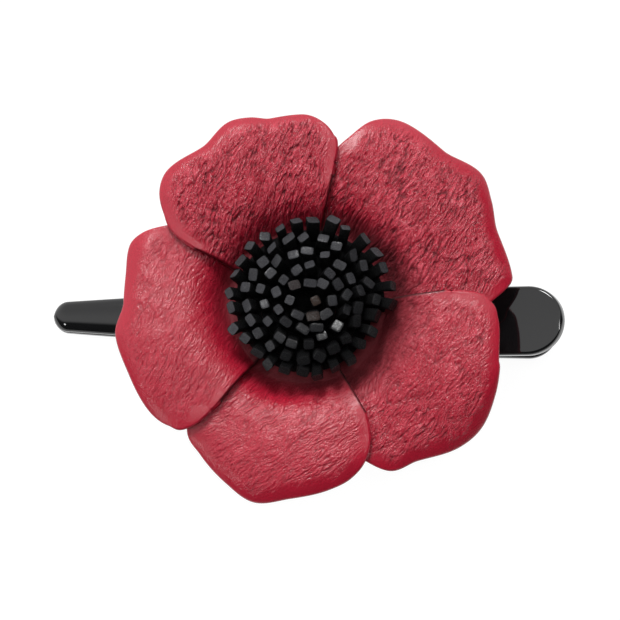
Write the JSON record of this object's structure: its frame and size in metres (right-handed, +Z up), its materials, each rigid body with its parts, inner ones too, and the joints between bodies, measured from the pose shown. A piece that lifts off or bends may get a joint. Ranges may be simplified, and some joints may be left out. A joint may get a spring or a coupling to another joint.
{
  "type": "flower hair clip",
  "caption": "Sprung beak hair clip in glossy black plastic with a red leather poppy and a black fringed leather centre glued on top.",
  "frame": {"origin": "on the lower jaw's flat underside, on the clip's centre line, under the flower's middle", "axes": "+X runs along the clip from the tip of the jaws to the thumb tabs, +Z is up through the flower, +Y completes the frame and runs along the hinge"},
  "size_m": [0.1042, 0.0786, 0.0254],
  "materials": {
    "black_plastic": "polished black",
    "steel": "drawn spring wire",
    "glue": "set hot-melt glue",
    "black_leather": "matte black leather",
    "red_leather": "wrinkled grain, semi-matte red"
  },
  "bodies": {
    "lower_body": {"lower_jaw": "black_plastic", "hinge_pin": "steel", "torsion_spring": "steel"},
    "upper_body": {"upper_jaw": "black_plastic", "glue_bed": "glue", "backing_disc": "black_leather", "petal_upper_right": "red_leather", "petal_right": "red_leather", "petal_lower": "red_leather", "petal_left": "red_leather", "petal_upper_left": "red_leather", "stamen_coil": "black_leather"}
  },
  "joints": [
    {"name": "jaw_open", "type": "hinge", "parent": "lower_body", "child": "upper_body", "pos_m": [0.027, 0, 0.0055], "axis": [0, 1, 0], "range_deg": [0, 25], "stiffness_Nm_per_rad": 0.25, "springref_deg": -40.11, "deforming": ["torsion_spring"]}
  ]
}
